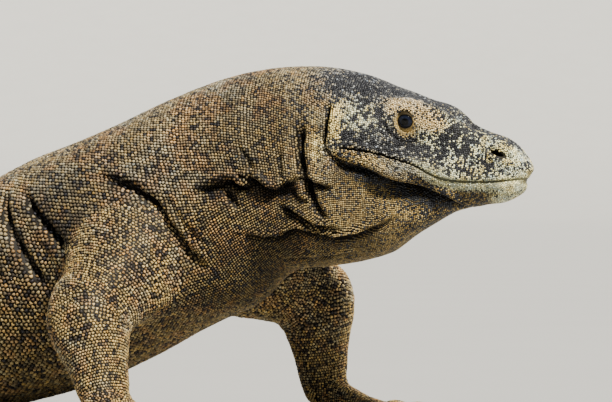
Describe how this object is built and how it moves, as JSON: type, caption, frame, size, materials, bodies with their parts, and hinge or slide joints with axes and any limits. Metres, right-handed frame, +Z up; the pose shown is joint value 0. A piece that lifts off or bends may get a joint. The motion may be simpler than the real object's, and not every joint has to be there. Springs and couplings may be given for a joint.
{
  "type": "komodo dragon model",
  "caption": "Life-size still model of a large monitor lizard, chest propped up on its forelegs, belly and tail on the floor.",
  "frame": {"origin": "middle of the model's outer box, on the floor it rests on", "axes": "+X the way the shoulders face, towards the head; +Y the animal's left; +Z up"},
  "size_m": [2.4284, 0.6686, 0.3493],
  "materials": {
    "body_skin": "matt scaly hide",
    "face_skin": "matt scaly hide",
    "jaw_skin": "matt scaly hide",
    "horn": "satin horn",
    "eye": "wet gloss"
  },
  "bodies": {
    "root": {"head": "face_skin", "lower_jaw": "jaw_skin", "throat": "body_skin", "eye_left": "eye", "eye_right": "eye", "neck": "body_skin", "chest": "body_skin", "belly": "body_skin", "hips": "body_skin", "tail_1": "body_skin", "tail_2": "body_skin", "tail_3": "body_skin", "tail_4": "body_skin", "tail_5": "body_skin", "upper_arm_right": "body_skin", "forearm_right": "body_skin", "hand_right": "body_skin", "finger_claw_right_1": "horn", "finger_claw_right_2": "horn", "finger_claw_right_3": "horn", "finger_claw_right_4": "horn", "finger_claw_right_5": "horn", "thigh_right": "body_skin", "shin_right": "body_skin", "foot_right": "body_skin", "toe_claw_right_1": "horn", "toe_claw_right_2": "horn", "toe_claw_right_3": "horn", "toe_claw_right_4": "horn", "toe_claw_right_5": "horn", "upper_arm_left": "body_skin", "forearm_left": "body_skin", "hand_left": "body_skin", "finger_claw_left_1": "horn", "finger_claw_left_2": "horn", "finger_claw_left_3": "horn", "finger_claw_left_4": "horn", "finger_claw_left_5": "horn", "thigh_left": "body_skin", "shin_left": "body_skin", "foot_left": "body_skin", "toe_claw_left_1": "horn", "toe_claw_left_2": "horn", "toe_claw_left_3": "horn", "toe_claw_left_4": "horn", "toe_claw_left_5": "horn"}
  },
  "joints": []
}
